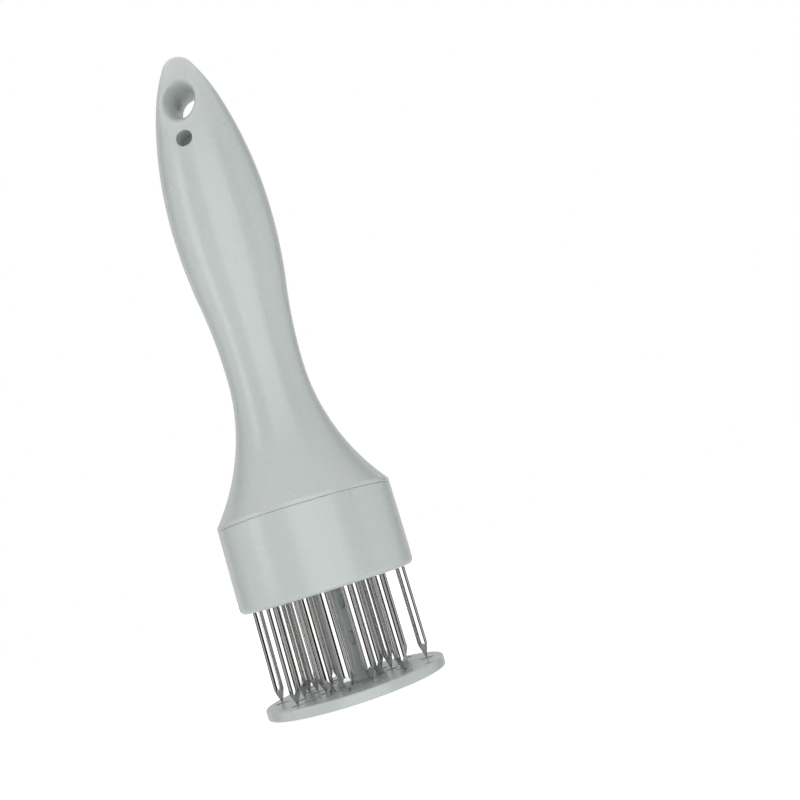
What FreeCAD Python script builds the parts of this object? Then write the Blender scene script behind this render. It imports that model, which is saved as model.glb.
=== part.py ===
import FreeCAD, Part
import math
import os
import Sketcher

# Blade meat tenderizer, standing on its guard disc.
# The origin is the middle of the disc's underside, +Z runs up to the end of the handle,
# and the front of the handle, with the hang hole and the small moulding hole, faces -Y.

SIZES = {
    # Guard
    "disc_diameter": 55.0,
    "disc_thickness": 3.0,
    "disc_edge_radius": 0.5,
    "stem_diameter": 9.5,
    "stem_foot_radius": 1.2,
    "slot_clearance": 0.6,
    "dimple_width": 2.7,
    "dimple_length": 4.4,
    "dimple_depth": 0.8,
    "dimple_lower_height": 15.5,
    "dimple_upper_height": 26.7,
    "dimple_turn": 40.0,
    "stroke": 28.0,
    "stroke_clearance": 0.2,
    # Blade head
    "collar_setback": 0.35,
    "collar_length": 25.6,
    "collar_edge_radius": 1.8,
    "collar_wall": 2.85,
    "mouth_wall": 2.15,
    "floor_recess": 1.8,
    "floor_thickness": 5.0,
    "head_turn": 11.8,
    # Blades
    "blade_diameter": 3.0,
    "blade_head_step": 0.6,
    "blade_head_thickness": 1.5,
    "blade_point_length": 4.8,
    "blade_point_recess": 0.2,
    "blade_clearance": 0.05,
    "blades_per_ring": 8,
    "outer_ring_inset": 2.5,
    "middle_ring_step": 6.5,
    "inner_ring_step": 4.5,
    # Clamp plate and its screws
    "clamp_thickness": 3.0,
    "clamp_clearance": 0.2,
    "clamp_screw_count": 4,
    "clamp_screw_step": 5.25,
    "clamp_screw_diameter": 2.5,
    "clamp_screw_head_diameter": 4.6,
    "clamp_screw_head_height": 1.6,
    "clamp_screw_length": 6.5,
    "hex_recess_width": 1.5,
    # Guard return
    "washer_margin": 0.3,
    "washer_thickness": 1.5,
    "stem_screw_diameter": 4.0,
    "stem_screw_length": 16.0,
    "stem_screw_head_diameter": 8.0,
    "stem_screw_head_height": 3.0,
    "stem_screw_recess_width": 3.0,
    "seat_clearance": 0.3,
    "running_clearance": 0.1,
    "screw_bore_clearance": 0.05,
    "spring_wire": 1.4,
    "spring_diameter": 13.0,
    "spring_turns": 9,
    # Handle
    "overall_height": 210.2,
    "spigot_length": 14.0,
    "spigot_wall": 3.0,
    "thread_clearance": 0.1,
    "spring_bore_clearance": 1.0,
    "spring_bore_depth": 50.0,
    "bell_lip": 1.2,
    "neck_diameter": 24.24,
    "neck_rise": 44.2,
    "grip_diameter": 32.4,
    "grip_drop": 57.2,
    "shoulder_diameter": 22.08,
    "shoulder_drop": 18.2,
    "shoulder_radius": 71.2,
    "nose_diameter": 10.0,
    "nose_length": 3.0,
    "hang_hole_diameter": 7.0,
    "hang_hole_drop": 17.1,
    "dish_diameter": 12.4,
    "dish_throat_half_length": 4.0,
    "dish_curve_radius": 9.0,
    "moulding_hole_diameter": 5.3,
    "moulding_hole_depth": 9.0,
    "moulding_hole_drop": 33.7,
}


class Length:
    """A size together with its formula in the sheet's names."""

    def __init__(self, value, text):
        self.value = float(value)
        self.text = text

    def _join(self, other, sign, result):
        return Length(result, f"({self.text} {sign} {as_length(other).text})")

    def __add__(self, other):
        return self._join(other, "+", self.value + as_length(other).value)

    def __sub__(self, other):
        return self._join(other, "-", self.value - as_length(other).value)

    def __mul__(self, other):
        return self._join(other, "*", self.value * as_length(other).value)

    def __truediv__(self, other):
        return self._join(other, "/", self.value / as_length(other).value)

    def __neg__(self):
        return as_length(0) - self


def as_length(number):
    """Give a plain number the same form as a named size."""
    return number if isinstance(number, Length) else Length(number, repr(number))


doc = FreeCAD.newDocument("tenderizer")
sheet = doc.addObject("Spreadsheet::Sheet", "Sizes")
for row, (alias, number) in enumerate(SIZES.items(), start=1):
    sheet.set(f"A{row}", alias)
    sheet.set(f"B{row}", str(number))
    sheet.setAlias(f"B{row}", alias)
doc.recompute()


def size(alias):
    return Length(SIZES[alias], f"Sizes.{alias}")


# Heights above the floor and radii that several pieces share
disc_top = size("disc_thickness")
collar_low = disc_top + size("stroke") + size("stroke_clearance")
joint_level = collar_low + size("collar_length")
floor_low = collar_low + size("floor_recess")
floor_top = floor_low + size("floor_thickness")
clamp_top = floor_top + size("clamp_thickness")
washer_low = clamp_top + size("seat_clearance")
washer_top = washer_low + size("washer_thickness")
spring_low = washer_top + size("seat_clearance")
spigot_low = joint_level - size("spigot_length")
bore_top = joint_level + size("spring_bore_depth")
spring_top = bore_top - size("seat_clearance")
blade_low = disc_top - size("blade_point_recess")
overall = size("overall_height")
disc_radius = size("disc_diameter") / 2
collar_radius = disc_radius - size("collar_setback")
collar_mouth_radius = collar_radius - size("mouth_wall")
stem_radius = size("stem_diameter") / 2
stem_bore_radius = stem_radius + size("running_clearance")
blade_radius = size("blade_diameter") / 2
blade_bore_radius = blade_radius + size("blade_clearance")
slot_radius = blade_radius + size("slot_clearance")
blade_head_radius = blade_radius + size("blade_head_step")
blade_pocket_radius = blade_head_radius + size("blade_clearance")
screw_radius = size("clamp_screw_diameter") / 2
screw_bore_radius = screw_radius + size("screw_bore_clearance")
stem_screw_radius = size("stem_screw_diameter") / 2
stem_screw_bore_radius = stem_screw_radius + size("screw_bore_clearance")
hang_height = overall - size("hang_hole_drop")
moulding_height = overall - size("moulding_hole_drop")

outer_ring = collar_mouth_radius - size("outer_ring_inset")
middle_ring = outer_ring - size("middle_ring_step")
inner_ring = middle_ring - size("inner_ring_step")
clamp_screw_circle = middle_ring - size("clamp_screw_step")
spring_radius = size("spring_diameter") / 2
spring_bore_radius = spring_radius + size("spring_wire") / 2 + size("spring_bore_clearance")

# Each ring of blades: its radius, and the share of one step that it is turned by
RINGS = {
    "outer": (outer_ring, 0.0),
    "middle": (middle_ring, 0.5),
    "inner": (inner_ring, 0.0),
}
blade_count = int(SIZES["blades_per_ring"])
blade_step = 360.0 / blade_count


def new_body(name, turn=None):
    """Start a sub-part; turn is its angle about the tool's axis."""
    body = doc.addObject("PartDesign::Body", name)
    body.Label = name
    body.Placement = FreeCAD.Placement()
    if turn is not None:
        spin_body(body, turn)
    return body


def spin_body(body, turn):
    body.Placement = FreeCAD.Placement(
        FreeCAD.Vector(), FreeCAD.Rotation(FreeCAD.Vector(0, 0, 1), turn.value)
    )
    body.setExpression("Placement.Rotation.Angle", turn.text)


def origin_plane(body, role):
    for feature in body.Origin.OriginFeatures:
        if feature.Role == role:
            return feature
    raise ValueError(role)


def new_sketch(body, name, role, offset=None):
    sketch = body.newObject("Sketcher::SketchObject", name)
    sketch.AttachmentSupport = (origin_plane(body, role), [""])
    sketch.MapMode = "FlatFace"
    if offset is not None:
        for path, length in offset.items():
            sketch.setExpression(f"AttachmentOffset.{path}", length.text)
    return sketch


def bind(sketch, constraint, length):
    index = sketch.addConstraint(constraint)
    sketch.setExpression(f"Constraints[{index}]", length.text)


def place_point(sketch, edge, end, across, up):
    """Hold one end of an edge at its distances from the sketch's axes."""
    for kind, axis, length in (("DistanceX", -2, across), ("DistanceY", -1, up)):
        if abs(length.value) < 1e-9:
            sketch.addConstraint(Sketcher.Constraint("PointOnObject", edge, end, axis))
        else:
            bind(sketch, Sketcher.Constraint(kind, -1, 1, edge, end, length.value), length)


def arc_between(start, end, radius, side):
    """The arc from start to end whose middle lies on the given side of the chord."""
    chord = end - start
    middle = (start + end) * 0.5
    normal = FreeCAD.Vector(-chord.y, chord.x, 0).normalize()
    rise = math.sqrt(max(radius * radius - chord.Length ** 2 / 4.0, 0.0))
    centre = middle - normal * (rise * side)
    top = centre + normal * (radius * side)
    return Part.Arc(start, top, end)


def outline(body, name, role, points, arcs=None, offset=None):
    """Draw a closed outline through points; arcs gives an edge's radius and its side."""
    arcs = arcs or {}
    sketch = new_sketch(body, name, role, offset)
    places = [FreeCAD.Vector(x.value, y.value, 0) for x, y in points]
    ends = []
    for number, start in enumerate(places):
        finish = places[(number + 1) % len(places)]
        if number in arcs:
            radius, side = arcs[number]
            edge = sketch.addGeometry(arc_between(start, finish, radius.value, side))
            first = sketch.getPoint(edge, 1)
            ends.append((edge, 1, 2) if (first - start).Length < 1e-6 else (edge, 2, 1))
        else:
            edge = sketch.addGeometry(Part.LineSegment(start, finish))
            ends.append((edge, 1, 2))
    for number, (edge, first, last) in enumerate(ends):
        following, entry, _ = ends[(number + 1) % len(ends)]
        sketch.addConstraint(Sketcher.Constraint("Coincident", edge, last, following, entry))
        across, up = points[number]
        place_point(sketch, edge, first, across, up)
    for number, (radius, _) in arcs.items():
        bind(sketch, Sketcher.Constraint("Radius", ends[number][0], radius.value), radius)
    return sketch


def circle(sketch, across, up, radius):
    centre = FreeCAD.Vector(across.value, up.value, 0)
    edge = sketch.addGeometry(Part.Circle(centre, FreeCAD.Vector(0, 0, 1), radius.value))
    place_point(sketch, edge, 3, across, up)
    bind(sketch, Sketcher.Constraint("Radius", edge, radius.value), radius)
    return edge


def revolve(body, sketch, kind="Revolution", axis="V_Axis"):
    feature = body.newObject(f"PartDesign::{kind}", f"{sketch.Name}_{kind.lower()}")
    feature.Profile = sketch
    feature.ReferenceAxis = (sketch, [axis])
    feature.Angle = 360.0
    return feature


def pocket(body, sketch, length=None, reverse=False, both=False):
    """Cut along the sketch's normal, right through where no length is given."""
    feature = body.newObject("PartDesign::Pocket", f"{sketch.Name}_pocket")
    feature.Profile = sketch
    if length is None:
        feature.Type = 1
    else:
        feature.Length = length.value
        feature.setExpression("Length", length.text)
    feature.Midplane = both
    feature.Reversed = reverse
    return feature


def repeat(body, feature, count, role="Z_Axis"):
    pattern = body.newObject("PartDesign::PolarPattern", f"{feature.Name}_ring")
    pattern.Originals = [feature]
    pattern.Axis = (origin_plane(body, role), [""])
    pattern.Angle = 360.0
    pattern.Occurrences = count
    body.Tip = pattern
    return pattern


def ring_of_holes(body, name, level, radius_out, hole_radius, phase, count, length=None, reverse=False):
    """Drill a ring of holes down from a level; phase is a share of one step."""
    turn = math.radians(360.0 / count * phase)
    sketch = new_sketch(body, name, "XY_Plane", {"Base.z": level})
    across = radius_out * round(math.cos(turn), 12)
    up = radius_out * round(math.sin(turn), 12)
    circle(sketch, across, up, hole_radius)
    return repeat(body, pocket(body, sketch, length, reverse), count)


zero = as_length(0)


# The guard: the disc that rests on the meat, and the stem that guides it
def make_guard():
    body = new_body("guard", size("head_turn"))
    edge = size("disc_edge_radius")
    foot = size("stem_foot_radius")
    rim = disc_radius
    points = [
        (zero, zero),
        (rim - edge, zero),
        (rim, edge),
        (rim, disc_top - edge),
        (rim - edge, disc_top),
        (stem_radius + foot, disc_top),
        (stem_radius, disc_top + foot),
        (stem_radius, washer_low),
        (stem_screw_bore_radius, washer_low),
        (stem_screw_bore_radius, washer_top - size("stem_screw_length")),
        (zero, washer_top - size("stem_screw_length")),
    ]
    arcs = {1: (edge, -1), 3: (edge, -1), 5: (foot, 1)}
    revolve(body, outline(body, "guard_profile", "XZ_Plane", points, arcs))
    for ring, (radius_out, phase) in RINGS.items():
        ring_of_holes(body, f"{ring}_slots", disc_top, radius_out, slot_radius, phase, blade_count)
    for place in ("lower", "upper"):
        sketch = dimple_outline(body, f"{place}_dimple", size(f"dimple_{place}_height"))
        body.Tip = pocket(body, sketch, size("dimple_depth"))
    return body


def dimple_outline(body, name, height):
    """An upright oval on the side of the stem, as far out as the dimple's floor."""
    half_width = size("dimple_width") / 2
    half_length = size("dimple_length") / 2
    reach = half_length - half_width
    sketch = new_sketch(body, name, "XZ_Plane")
    turn = size("dimple_turn")
    out = FreeCAD.Rotation(FreeCAD.Vector(0, 1, 0), turn.value)
    sketch.AttachmentOffset = FreeCAD.Placement(out.multVec(FreeCAD.Vector(0, 0, stem_radius.value)), out)
    sketch.setExpression("AttachmentOffset.Rotation.Angle", turn.text)
    sketch.setExpression("AttachmentOffset.Base.x", f"{stem_radius.text} * sin({turn.text} * 1deg)")
    sketch.setExpression("AttachmentOffset.Base.z", f"{stem_radius.text} * cos({turn.text} * 1deg)")
    low = FreeCAD.Vector(0, (height - reach).value, 0)
    top = FreeCAD.Vector(0, (height + reach).value, 0)
    side = FreeCAD.Vector(half_width.value, 0, 0)
    cap = FreeCAD.Vector(0, half_width.value, 0)
    edges = [
        Part.LineSegment(low + side, top + side),
        Part.Arc(top + side, top + cap, top - side),
        Part.LineSegment(top - side, low - side),
        Part.Arc(low - side, low - cap, low + side),
    ]
    for edge in edges:
        sketch.addGeometry(edge)
    for one, other in ((0, 1), (2, 3)):
        sketch.addConstraint(Sketcher.Constraint("Tangent", one, 2, other, 1))
    for one, other in ((1, 2), (3, 0)):
        sketch.addConstraint(Sketcher.Constraint("Tangent", one, 2, other, 1))
    sketch.addConstraint(Sketcher.Constraint("PointOnObject", 1, 3, -2))
    sketch.addConstraint(Sketcher.Constraint("PointOnObject", 3, 3, -2))
    bind(sketch, Sketcher.Constraint("DistanceY", -1, 1, 1, 3, top.y), height + reach)
    bind(sketch, Sketcher.Constraint("DistanceY", -1, 1, 3, 3, low.y), height - reach)
    bind(sketch, Sketcher.Constraint("Radius", 1, half_width.value), half_width)
    return sketch


# The blade head: the collar with the floor that the blades hang in
def make_blade_head():
    body = new_body("blade_head", size("head_turn"))
    edge = size("collar_edge_radius")
    inner = collar_radius - size("collar_wall")
    points = [
        (stem_bore_radius, floor_low),
        (inner, floor_low),
        (inner, collar_low),
        (collar_radius - edge, collar_low),
        (collar_radius, collar_low + edge),
        (collar_radius, joint_level),
        (collar_mouth_radius, joint_level),
        (collar_mouth_radius, floor_top),
        (stem_bore_radius, floor_top),
    ]
    arcs = {3: (edge, -1)}
    revolve(body, outline(body, "head_profile", "XZ_Plane", points, arcs))
    for ring, (radius_out, phase) in RINGS.items():
        ring_of_holes(body, f"{ring}_bores", floor_top, radius_out, blade_bore_radius, phase, blade_count)
        ring_of_holes(
            body, f"{ring}_pockets", floor_top, radius_out, blade_pocket_radius, phase, blade_count,
            size("blade_head_thickness"),
        )
    count = int(SIZES["clamp_screw_count"])
    thread = size("clamp_screw_length") - size("clamp_thickness")
    ring_of_holes(
        body, "screw_bores", floor_top, clamp_screw_circle, screw_bore_radius, 0.25, count, thread
    )
    return body


# The clamp plate that holds the blade heads down in their pockets
def make_clamp_plate():
    body = new_body("clamp_plate", size("head_turn"))
    rim = collar_mouth_radius - size("clamp_clearance")
    points = [
        (stem_bore_radius, floor_top),
        (rim, floor_top),
        (rim, clamp_top),
        (stem_bore_radius, clamp_top),
    ]
    revolve(body, outline(body, "plate_profile", "XZ_Plane", points))
    count = int(SIZES["clamp_screw_count"])
    ring_of_holes(body, "plate_holes", clamp_top, clamp_screw_circle, screw_bore_radius, 0.25, count)
    return body


# One blade: a round stainless rod with an upset head and a point ground to four flats
def make_blade(name, radius_out, angle):
    body = new_body(name)
    shoulder = floor_top - size("blade_head_thickness")
    points = [
        (zero, blade_low),
        (blade_radius, blade_low),
        (blade_radius, shoulder),
        (blade_head_radius, shoulder),
        (blade_head_radius, floor_top),
        (zero, floor_top),
    ]
    revolve(body, outline(body, f"{name}_profile", "XZ_Plane", points))
    point = size("blade_point_length")
    waste = [
        (zero, blade_low),
        (blade_radius * 1.5, blade_low + point * 1.5),
        (blade_radius * 1.5, blade_low - 1),
        (zero, blade_low - 1),
    ]
    flat = pocket(body, outline(body, f"{name}_flat", "XZ_Plane", waste), blade_radius * 3, both=True)
    repeat(body, flat, 4)
    turn = math.radians(angle + SIZES["head_turn"])
    place = FreeCAD.Vector(math.cos(turn), math.sin(turn), 0) * radius_out.value
    spin = FreeCAD.Rotation(FreeCAD.Vector(0, 0, 1), angle + SIZES["head_turn"])
    body.Placement = FreeCAD.Placement(place, spin)
    formula = f"({angle} + Sizes.head_turn)"
    body.setExpression("Placement.Base.x", f"{radius_out.text} * cos({formula} * 1deg)")
    body.setExpression("Placement.Base.y", f"{radius_out.text} * sin({formula} * 1deg)")
    body.setExpression("Placement.Rotation.Angle", formula)
    return body


# The screws of the clamp plate, one group of separate solids
def make_clamp_screws():
    count = int(SIZES["clamp_screw_count"])
    foot = clamp_top - size("clamp_screw_length")
    screw = Part.makeCylinder(screw_radius.value, (clamp_top - foot).value, FreeCAD.Vector(0, 0, foot.value))
    head = Part.makeCylinder(
        SIZES["clamp_screw_head_diameter"] / 2, SIZES["clamp_screw_head_height"],
        FreeCAD.Vector(0, 0, clamp_top.value),
    )
    recess_depth = SIZES["clamp_screw_head_height"] * 0.6
    recess_level = clamp_top.value + SIZES["clamp_screw_head_height"] - recess_depth
    recess = hexagon(SIZES["hex_recess_width"], recess_level, recess_depth)
    screw = screw.fuse(head).removeSplitter().cut(recess)
    group = []
    for number in range(count):
        turn = SIZES["head_turn"] + 360.0 / count * (number + 0.25)
        copy = screw.copy()
        copy.translate(FreeCAD.Vector(clamp_screw_circle.value, 0, 0))
        copy.rotate(FreeCAD.Vector(), FreeCAD.Vector(0, 0, 1), turn)
        group.append(copy)
    feature = doc.addObject("Part::Feature", "clamp_screws")
    feature.Label = "clamp_screws"
    feature.Shape = Part.Compound(group)
    feature.Placement = FreeCAD.Placement()
    return feature


def hexagon(width, level, height):
    """A six-sided key recess, width across its flats."""
    corner = width / math.sqrt(3.0)
    corners = []
    for number in range(7):
        turn = math.radians(60.0 * number)
        corners.append(FreeCAD.Vector(corner * math.cos(turn), corner * math.sin(turn), level))
    return Part.Face(Part.makePolygon(corners)).extrude(FreeCAD.Vector(0, 0, height))


# The washer that stops the guard's stem at the clamp plate and carries the spring
def make_washer():
    body = new_body("stem_washer")
    rim = spring_radius + size("washer_margin")
    points = [
        (stem_screw_bore_radius, washer_low),
        (rim, washer_low),
        (rim, washer_top),
        (stem_screw_bore_radius, washer_top),
    ]
    revolve(body, outline(body, "washer_profile", "XZ_Plane", points))
    return body


# The screw down into the end of the stem
def make_stem_screw():
    body = new_body("stem_screw")
    head_top = washer_top + size("stem_screw_head_height")
    head_radius = size("stem_screw_head_diameter") / 2
    foot = washer_top - size("stem_screw_length")
    points = [
        (zero, foot),
        (stem_screw_radius, foot),
        (stem_screw_radius, washer_top),
        (head_radius, washer_top),
        (head_radius, head_top),
        (zero, head_top),
    ]
    revolve(body, outline(body, "stem_screw_profile", "XZ_Plane", points))
    half = size("stem_screw_recess_width") / 2
    corner = size("stem_screw_recess_width") / math.sqrt(3.0)
    corners = [
        (corner, zero),
        (corner / 2, half),
        (-(corner / 2), half),
        (-corner, zero),
        (-(corner / 2), -half),
        (corner / 2, -half),
    ]
    recess = outline(body, "key_recess", "XY_Plane", corners, offset={"Base.z": head_top})
    pocket(body, recess, size("stem_screw_head_height") * 0.6)
    return body


# The return spring: one unbroken wire in open turns between two flat ends
def make_spring():
    wire = SIZES["spring_wire"]
    low = spring_low.value + wire / 2
    rise = spring_top.value - wire / 2 - low
    turns = int(SIZES["spring_turns"])
    flat_turns = 1
    pitch = (rise - 2 * flat_turns * wire * 1.35) / (turns - 2 * flat_turns)
    heights = [low]
    for number in range(turns):
        closed = number < flat_turns or number >= turns - flat_turns
        heights.append(heights[-1] + (wire * 1.35 if closed else pitch))
    steps = 4
    points = []
    for number in range(turns):
        for step in range(steps):
            share = step / steps
            height = heights[number] * (1 - share) + heights[number + 1] * share
            points.append((number + share, height))
    points.append((float(turns), heights[-1]))
    path = coil_path(points, spring_radius.value)
    start = path.Edges[0].valueAt(path.Edges[0].FirstParameter)
    along = path.Edges[0].tangentAt(path.Edges[0].FirstParameter)
    ring = Part.Wire([Part.Circle(start, along, wire / 2).toShape()])
    solid = Part.Wire(path.Edges).makePipeShell([ring], True, False)
    gap = least_gap(path, turns, wire)
    print(f"spring: {turns} turns, least gap {gap:.2f} mm, volume {solid.Volume:.1f}")
    feature = doc.addObject("Part::Feature", "return_spring")
    feature.Label = "return_spring"
    feature.Shape = solid
    feature.Placement = FreeCAD.Placement()
    return feature


def least_gap(path, turns, wire):
    """The least gap between two turns, measured on points along the wire's middle."""
    per_turn = 40
    places = path.discretize(Number=turns * per_turn + 1)
    nearest = min(
        (places[one] - places[other]).Length
        for one in range(len(places))
        for other in range(one + per_turn // 2, len(places))
    )
    return nearest - wire


def coil_path(points, radius):
    """Quarter turns of a rising coil, each one arc through three points of the helix."""
    def on_coil(turn, height):
        angle = 2 * math.pi * turn
        return FreeCAD.Vector(radius * math.cos(angle), radius * math.sin(angle), height)

    edges = []
    for (turn_a, low), (turn_b, high) in zip(points, points[1:]):
        middle = on_coil((turn_a + turn_b) / 2, (low + high) / 2)
        edges.append(Part.Arc(on_coil(turn_a, low), middle, on_coil(turn_b, high)).toShape())
    return Part.Wire(edges)


# The handle: spigot, bell, neck, grip and the flattened end with the hang hole
def make_handle():
    body = new_body("handle")
    spigot_outer = collar_mouth_radius - size("thread_clearance")
    spigot_inner = spigot_outer - size("spigot_wall")
    bore = spring_bore_radius
    neck = size("neck_diameter") / 2
    grip = size("grip_diameter") / 2
    shoulder = size("shoulder_diameter") / 2
    nose = size("nose_diameter") / 2
    lip_level = joint_level + size("bell_lip")
    neck_level = joint_level + size("neck_rise")
    grip_level = overall - size("grip_drop")
    shoulder_level = overall - size("shoulder_drop")
    nose_level = overall - size("nose_length")
    bell_radius = sagitta_radius(collar_radius - neck, neck_level - lip_level)
    swell_radius = sagitta_radius((grip - neck) / 2, (grip_level - neck_level) / 2)
    grip_radius = sagitta_radius(grip - shoulder, shoulder_level - grip_level)
    nose_length = size("nose_length")
    nose_radius = (nose * nose + nose_length * nose_length) / (nose_length * 2)
    wall = neck - bore
    cavity_radius = bell_radius + wall
    sweep = cavity_radius.value - (spigot_inner.value - bore.value)
    cavity_level = neck_level.value - math.sqrt(cavity_radius.value ** 2 - sweep ** 2)
    cavity_drop = Length(
        neck_level.value - cavity_level,
        f"sqrt(({cavity_radius.text})^2 - ({cavity_radius.text} - ({spigot_inner.text} - {bore.text}))^2)",
    )
    points = [
        (spigot_inner, spigot_low),
        (spigot_outer, spigot_low),
        (spigot_outer, joint_level),
        (collar_radius, joint_level),
        (collar_radius, lip_level),
        (neck, neck_level),
        ((neck + grip) / 2, (neck_level + grip_level) / 2),
        (grip, grip_level),
        (shoulder, shoulder_level),
        (nose, nose_level),
        (zero, overall),
        (zero, bore_top),
        (bore, bore_top),
        (bore, neck_level),
        (spigot_inner, neck_level - cavity_drop),
    ]
    arcs = {
        4: (bell_radius, 1),
        5: (swell_radius, 1),
        6: (swell_radius, -1),
        7: (grip_radius, -1),
        8: (size("shoulder_radius"), -1),
        9: (nose_radius, -1),
        13: (cavity_radius, -1),
    }
    revolve(body, outline(body, "handle_profile", "XZ_Plane", points, arcs))
    drill_hang_hole(body)
    return body


def sagitta_radius(rise, half_length):
    """The radius of an arc that starts along the axis and moves out by rise over half_length."""
    return (rise * rise + half_length * half_length) / (rise * 2)


def drill_hang_hole(body):
    """The through hole, its dish on the front and on the back, and the blind moulding hole."""
    sketch = new_sketch(body, "hang_hole", "XZ_Plane")
    circle(sketch, zero, hang_height, size("hang_hole_diameter") / 2)
    pocket(body, sketch, size("grip_diameter") * 2, both=True)
    throat = size("dish_throat_half_length")
    hole = size("hang_hole_diameter") / 2
    reach = size("grip_diameter") / 2
    flare = size("dish_curve_radius")
    mouth = size("dish_diameter") / 2
    for side, sign in (("front", -1), ("back", 1)):
        points = [
            (throat * sign, zero),
            (throat * sign, hole),
            ((throat + (reach - throat) / 2) * sign, mouth),
            (reach * sign, mouth + 1),
            (reach * sign, zero),
        ]
        arcs = {1: (flare, sign)}
        dish = outline(body, f"{side}_dish", "YZ_Plane", points, arcs, {"Base.y": hang_height})
        revolve(body, dish, "Groove", "H_Axis")
    sketch = new_sketch(body, "moulding_hole", "XZ_Plane")
    circle(sketch, zero, moulding_height, size("moulding_hole_diameter") / 2)
    sketch.AttachmentOffset = FreeCAD.Placement(FreeCAD.Vector(0, 0, reach.value), FreeCAD.Rotation())
    pocket(body, sketch, size("moulding_hole_depth"))


make_guard()
make_blade_head()
make_clamp_plate()
make_clamp_screws()
make_washer()
make_stem_screw()
make_spring()
make_handle()
for ring_name, (ring_radius, ring_phase) in RINGS.items():
    for place_number in range(blade_count):
        blade_angle = blade_step * (place_number + ring_phase)
        make_blade(f"{ring_name}_blade_{place_number + 1}", ring_radius, blade_angle)

doc.recompute()
failed = [thing.Name for thing in doc.Objects if "Invalid" in thing.State or "Error" in thing.State]
if failed:
    raise RuntimeError(f"failed objects: {failed}")

pieces = [thing for thing in doc.Objects if thing.TypeId in ("PartDesign::Body", "Part::Feature")]
for piece in pieces:
    if piece.Shape.isNull() or not piece.Shape.isValid():
        raise RuntimeError(f"bad shape: {piece.Label}")

os.makedirs("parts", exist_ok=True)
for piece in pieces:
    piece.Shape.exportStep(f"parts/{piece.Label}.step")
    box = piece.Shape.BoundBox
    print(
        f"{piece.Label}: {len(piece.Shape.Solids)} solid, {piece.Shape.Volume:.1f} mm3,"
        f" z {box.ZMin:.2f} to {box.ZMax:.2f}, width {box.XLength:.2f} x {box.YLength:.2f}"
    )
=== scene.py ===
import logging
import math
from dataclasses import dataclass, field
from enum import Enum
from typing import Any, Callable, Iterable, Iterator

import bpy
from mathutils import Matrix, Vector


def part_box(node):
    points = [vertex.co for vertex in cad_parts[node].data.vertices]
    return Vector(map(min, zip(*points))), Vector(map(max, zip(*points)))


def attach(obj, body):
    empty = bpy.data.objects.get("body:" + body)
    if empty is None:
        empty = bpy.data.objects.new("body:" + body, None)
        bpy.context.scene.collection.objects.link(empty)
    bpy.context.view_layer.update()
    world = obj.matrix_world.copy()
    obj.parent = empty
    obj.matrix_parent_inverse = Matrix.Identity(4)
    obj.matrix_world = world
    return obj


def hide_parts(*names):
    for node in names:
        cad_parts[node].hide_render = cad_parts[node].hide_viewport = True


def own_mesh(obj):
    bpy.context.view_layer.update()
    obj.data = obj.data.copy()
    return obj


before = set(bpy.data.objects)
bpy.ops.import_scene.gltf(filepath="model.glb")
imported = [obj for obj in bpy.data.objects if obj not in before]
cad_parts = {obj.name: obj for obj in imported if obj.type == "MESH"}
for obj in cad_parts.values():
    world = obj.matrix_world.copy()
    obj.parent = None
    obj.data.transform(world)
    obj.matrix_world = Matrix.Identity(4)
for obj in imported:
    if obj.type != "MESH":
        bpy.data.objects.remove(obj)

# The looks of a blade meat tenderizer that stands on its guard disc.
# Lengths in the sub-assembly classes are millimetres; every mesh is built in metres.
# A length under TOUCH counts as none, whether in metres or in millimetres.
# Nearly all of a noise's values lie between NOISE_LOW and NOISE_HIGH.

MM = 0.001
TOUCH = 1e-6
NOISE_LOW = 0.25
NOISE_HIGH = 0.75
Ring = tuple[float, float]
Corner = tuple[float, float, float]
LOG = logging.getLogger("tenderizer")


class Ending(Enum):
    """How a turned profile ends."""

    OPEN = "open"
    POLE = "pole"
    LOOP = "loop"


class Pick(Enum):
    """What is picked in edit mode."""

    VERTICES = "VERT"
    EDGES = "EDGE"


def arc(start: Ring, end: Ring, radius: float, side: int, steps: int) -> list[Ring]:
    """Points along an arc, without its first point.

    Args:
        start: Where the arc starts, as radius and height.
        end: Where it ends.
        radius: Its own radius.
        side: 1 when it bulges to the left of the way from start to end, -1 to the right.
        steps: How many points to give.

    Returns:
        The points after the start, the end among them.
    """
    first, last = Vector(start), Vector(end)
    chord = last - first
    normal = Vector((-chord.y, chord.x)).normalized()
    rise = math.sqrt(max(radius * radius - chord.length_squared / 4.0, 0.0))
    centre = (first + last) / 2.0 - normal * rise * side
    opening = (first - centre).angle_signed(last - centre)
    points: list[Ring] = []
    for step in range(1, steps + 1):
        turn = -opening * step / steps
        spoke = Matrix.Rotation(turn, 2) @ (first - centre)
        points.append((centre.x + spoke.x, centre.y + spoke.y))
    return points


def rounded(corners: list[Corner], steps: int, closed: bool = True) -> list[Ring]:
    """A profile through corners that are each rounded by their own radius.

    Args:
        corners: Radius, height and rounding of each corner.
        steps: Points on each rounding.
        closed: Whether the last corner runs on to the first.

    Returns:
        The points of the profile.
    """
    count = len(corners)
    points: list[Ring] = []
    for number, (across, up, rounding) in enumerate(corners):
        place = Vector((across, up))
        at_end = not closed and number in (0, count - 1)
        if rounding <= 0.0 or at_end:
            points.append((across, up))
            continue
        before = Vector(corners[number - 1][:2])
        after = Vector(corners[(number + 1) % count][:2])
        entry = (before - place).normalized()
        leave = (after - place).normalized()
        half = entry.angle(leave) / 2.0
        reach = rounding / math.tan(half)
        start = place + entry * reach
        finish = place + leave * reach
        middle = place + (entry + leave).normalized() * (rounding / math.sin(half))
        for step in range(steps + 1):
            spoke = (start - middle).slerp(finish - middle, step / steps).normalized() * rounding
            points.append((middle.x + spoke.x, middle.y + spoke.y))
    return points


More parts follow.
